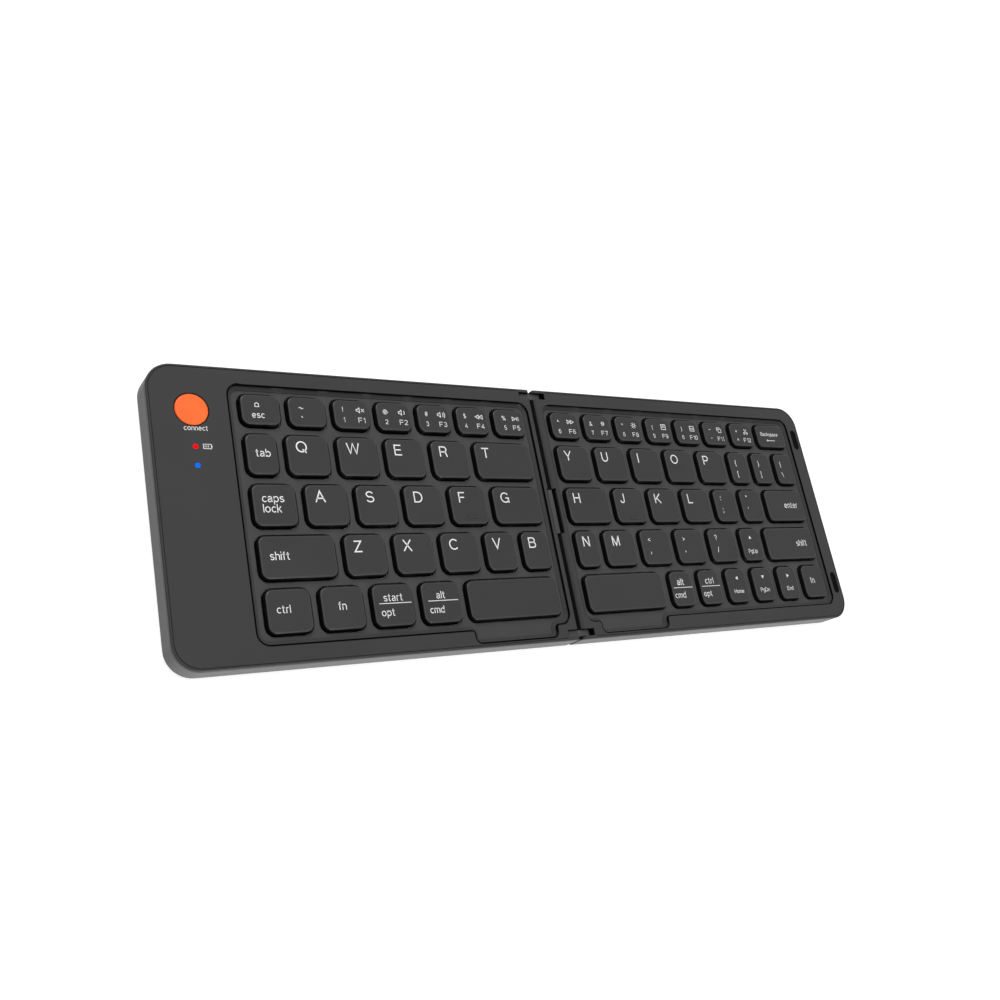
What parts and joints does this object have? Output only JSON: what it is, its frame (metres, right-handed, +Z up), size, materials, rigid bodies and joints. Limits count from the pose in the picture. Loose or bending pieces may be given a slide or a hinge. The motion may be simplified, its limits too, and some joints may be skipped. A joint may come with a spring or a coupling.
{
  "type": "folding keyboard",
  "caption": "Folding keyboard of two flat halves on a double-axis hinge, with scissor keys in recessed wells, a round connect button and a charge socket.",
  "frame": {"origin": "on the table under the middle of the open keyboard, halfway along the seam", "axes": "+X along the keyboard to the user's right, +Y from the user to the rear, +Z up"},
  "size_m": [0.3, 0.1, 0.0111],
  "materials": {
    "case": "satin",
    "deck": "matt",
    "keys": "satin",
    "steel": "satin",
    "membrane": "clear",
    "silicone": "matt",
    "acetal": "matt",
    "feet": "matt",
    "board": "gloss",
    "cell": "satin",
    "cable": "gloss",
    "button": "satin",
    "lights": "clear"
  },
  "bodies": {
    "left_half": {"left_base": "case", "left_deck": "deck", "left_key_web": "deck", "left_support_plate": "steel", "left_membrane": "membrane", "left_domes": "silicone", "left_scissors": "acetal", "left_screws": "steel", "left_feet": "feet", "left_magnets": "steel", "circuit_board": "board", "battery": "cell", "charge_socket": "steel", "status_lights": "lights", "cable_guide": "deck", "flex_cable": "cable"},
    "hinge_link": {"hinge_links": "deck", "hinge_pins": "steel"},
    "right_half": {"right_base": "case", "right_deck": "deck", "right_key_web": "deck", "right_support_plate": "steel", "right_membrane": "membrane", "right_domes": "silicone", "right_scissors": "acetal", "right_screws": "steel", "right_feet": "feet", "right_magnets": "feet"},
    "connect_button": {"connect_button": "button"},
    "left_space_bar": {"left_space_bar": "keys"},
    "right_space_bar": {"right_space_bar": "keys"},
    "left_function_keys": {"left_function_keys": "keys"},
    "right_number_keys": {"right_number_keys": "keys"},
    "right_function_keys": {"right_function_keys": "keys"},
    "key_a": {"key_a": "keys"},
    "key_b": {"key_b": "keys"},
    "key_c": {"key_c": "keys"},
    "key_d": {"key_d": "keys"},
    "key_e": {"key_e": "keys"},
    "key_f": {"key_f": "keys"},
    "key_g": {"key_g": "keys"},
    "key_h": {"key_h": "keys"},
    "key_i": {"key_i": "keys"},
    "key_j": {"key_j": "keys"},
    "key_k": {"key_k": "keys"},
    "key_l": {"key_l": "keys"},
    "key_m": {"key_m": "keys"},
    "key_n": {"key_n": "keys"},
    "key_o": {"key_o": "keys"},
    "key_p": {"key_p": "keys"},
    "key_q": {"key_q": "keys"},
    "key_r": {"key_r": "keys"},
    "key_s": {"key_s": "keys"},
    "key_t": {"key_t": "keys"},
    "key_u": {"key_u": "keys"},
    "key_v": {"key_v": "keys"},
    "key_w": {"key_w": "keys"},
    "key_x": {"key_x": "keys"},
    "key_y": {"key_y": "keys"},
    "key_z": {"key_z": "keys"}
  },
  "joints": [
    {"name": "link_fold", "type": "hinge", "parent": "left_half", "child": "hinge_link", "pos_m": [-0.0037, 0, 0.0077], "axis": [0, -1, 0], "range_deg": [0, 90], "deforming": ["flex_cable"]},
    {"name": "right_fold", "type": "hinge", "parent": "hinge_link", "child": "right_half", "pos_m": [0.0037, 0, 0.0077], "axis": [0, -1, 0], "range_deg": [0, 90]},
    {"name": "button_press", "type": "slide", "parent": "left_half", "child": "connect_button", "axis": [0, 0, -1], "range_m": [0, 0.0005], "stiffness_N_per_m": 800},
    {"name": "left_space_bar_press", "type": "slide", "parent": "left_half", "child": "left_space_bar", "axis": [0, 0, -1], "range_m": [0, 0.0015], "stiffness_N_per_m": 300, "deforming": ["left_domes", "left_scissors"]},
    {"name": "right_space_bar_press", "type": "slide", "parent": "right_half", "child": "right_space_bar", "axis": [0, 0, -1], "range_m": [0, 0.0015], "stiffness_N_per_m": 300, "deforming": ["right_domes", "right_scissors"]},
    {"name": "left_function_keys_press", "type": "slide", "parent": "left_half", "child": "left_function_keys", "axis": [0, 0, -1], "range_m": [0, 0.0015], "stiffness_N_per_m": 4200},
    {"name": "right_number_keys_press", "type": "slide", "parent": "right_half", "child": "right_number_keys", "axis": [0, 0, -1], "range_m": [0, 0.0015], "stiffness_N_per_m": 2400},
    {"name": "right_function_keys_press", "type": "slide", "parent": "right_half", "child": "right_function_keys", "axis": [0, 0, -1], "range_m": [0, 0.0015], "stiffness_N_per_m": 5100},
    {"name": "key_a_press", "type": "slide", "parent": "left_half", "child": "key_a", "axis": [0, 0, -1], "range_m": [0, 0.0015], "stiffness_N_per_m": 300},
    {"name": "key_b_press", "type": "slide", "parent": "left_half", "child": "key_b", "axis": [0, 0, -1], "range_m": [0, 0.0015], "stiffness_N_per_m": 300},
    {"name": "key_c_press", "type": "slide", "parent": "left_half", "child": "key_c", "axis": [0, 0, -1], "range_m": [0, 0.0015], "stiffness_N_per_m": 300},
    {"name": "key_d_press", "type": "slide", "parent": "left_half", "child": "key_d", "axis": [0, 0, -1], "range_m": [0, 0.0015], "stiffness_N_per_m": 300},
    {"name": "key_e_press", "type": "slide", "parent": "left_half", "child": "key_e", "axis": [0, 0, -1], "range_m": [0, 0.0015], "stiffness_N_per_m": 300},
    {"name": "key_f_press", "type": "slide", "parent": "left_half", "child": "key_f", "axis": [0, 0, -1], "range_m": [0, 0.0015], "stiffness_N_per_m": 300},
    {"name": "key_g_press", "type": "slide", "parent": "left_half", "child": "key_g", "axis": [0, 0, -1], "range_m": [0, 0.0015], "stiffness_N_per_m": 300},
    {"name": "key_h_press", "type": "slide", "parent": "right_half", "child": "key_h", "axis": [0, 0, -1], "range_m": [0, 0.0015], "stiffness_N_per_m": 300},
    {"name": "key_i_press", "type": "slide", "parent": "right_half", "child": "key_i", "axis": [0, 0, -1], "range_m": [0, 0.0015], "stiffness_N_per_m": 300},
    {"name": "key_j_press", "type": "slide", "parent": "right_half", "child": "key_j", "axis": [0, 0, -1], "range_m": [0, 0.0015], "stiffness_N_per_m": 300},
    {"name": "key_k_press", "type": "slide", "parent": "right_half", "child": "key_k", "axis": [0, 0, -1], "range_m": [0, 0.0015], "stiffness_N_per_m": 300},
    {"name": "key_l_press", "type": "slide", "parent": "right_half", "child": "key_l", "axis": [0, 0, -1], "range_m": [0, 0.0015], "stiffness_N_per_m": 300},
    {"name": "key_m_press", "type": "slide", "parent": "right_half", "child": "key_m", "axis": [0, 0, -1], "range_m": [0, 0.0015], "stiffness_N_per_m": 300},
    {"name": "key_n_press", "type": "slide", "parent": "right_half", "child": "key_n", "axis": [0, 0, -1], "range_m": [0, 0.0015], "stiffness_N_per_m": 300},
    {"name": "key_o_press", "type": "slide", "parent": "right_half", "child": "key_o", "axis": [0, 0, -1], "range_m": [0, 0.0015], "stiffness_N_per_m": 300},
    {"name": "key_p_press", "type": "slide", "parent": "right_half", "child": "key_p", "axis": [0, 0, -1], "range_m": [0, 0.0015], "stiffness_N_per_m": 300},
    {"name": "key_q_press", "type": "slide", "parent": "left_half", "child": "key_q", "axis": [0, 0, -1], "range_m": [0, 0.0015], "stiffness_N_per_m": 300},
    {"name": "key_r_press", "type": "slide", "parent": "left_half", "child": "key_r", "axis": [0, 0, -1], "range_m": [0, 0.0015], "stiffness_N_per_m": 300},
    {"name": "key_s_press", "type": "slide", "parent": "left_half", "child": "key_s", "axis": [0, 0, -1], "range_m": [0, 0.0015], "stiffness_N_per_m": 300},
    {"name": "key_t_press", "type": "slide", "parent": "left_half", "child": "key_t", "axis": [0, 0, -1], "range_m": [0, 0.0015], "stiffness_N_per_m": 300},
    {"name": "key_u_press", "type": "slide", "parent": "right_half", "child": "key_u", "axis": [0, 0, -1], "range_m": [0, 0.0015], "stiffness_N_per_m": 300},
    {"name": "key_v_press", "type": "slide", "parent": "left_half", "child": "key_v", "axis": [0, 0, -1], "range_m": [0, 0.0015], "stiffness_N_per_m": 300},
    {"name": "key_w_press", "type": "slide", "parent": "left_half", "child": "key_w", "axis": [0, 0, -1], "range_m": [0, 0.0015], "stiffness_N_per_m": 300},
    {"name": "key_x_press", "type": "slide", "parent": "left_half", "child": "key_x", "axis": [0, 0, -1], "range_m": [0, 0.0015], "stiffness_N_per_m": 300},
    {"name": "key_y_press", "type": "slide", "parent": "right_half", "child": "key_y", "axis": [0, 0, -1], "range_m": [0, 0.0015], "stiffness_N_per_m": 300},
    {"name": "key_z_press", "type": "slide", "parent": "left_half", "child": "key_z", "axis": [0, 0, -1], "range_m": [0, 0.0015], "stiffness_N_per_m": 300}
  ],
  "couplings": [
    {"joint": "link_fold", "follows": "right_fold", "ratio": 1}
  ]
}
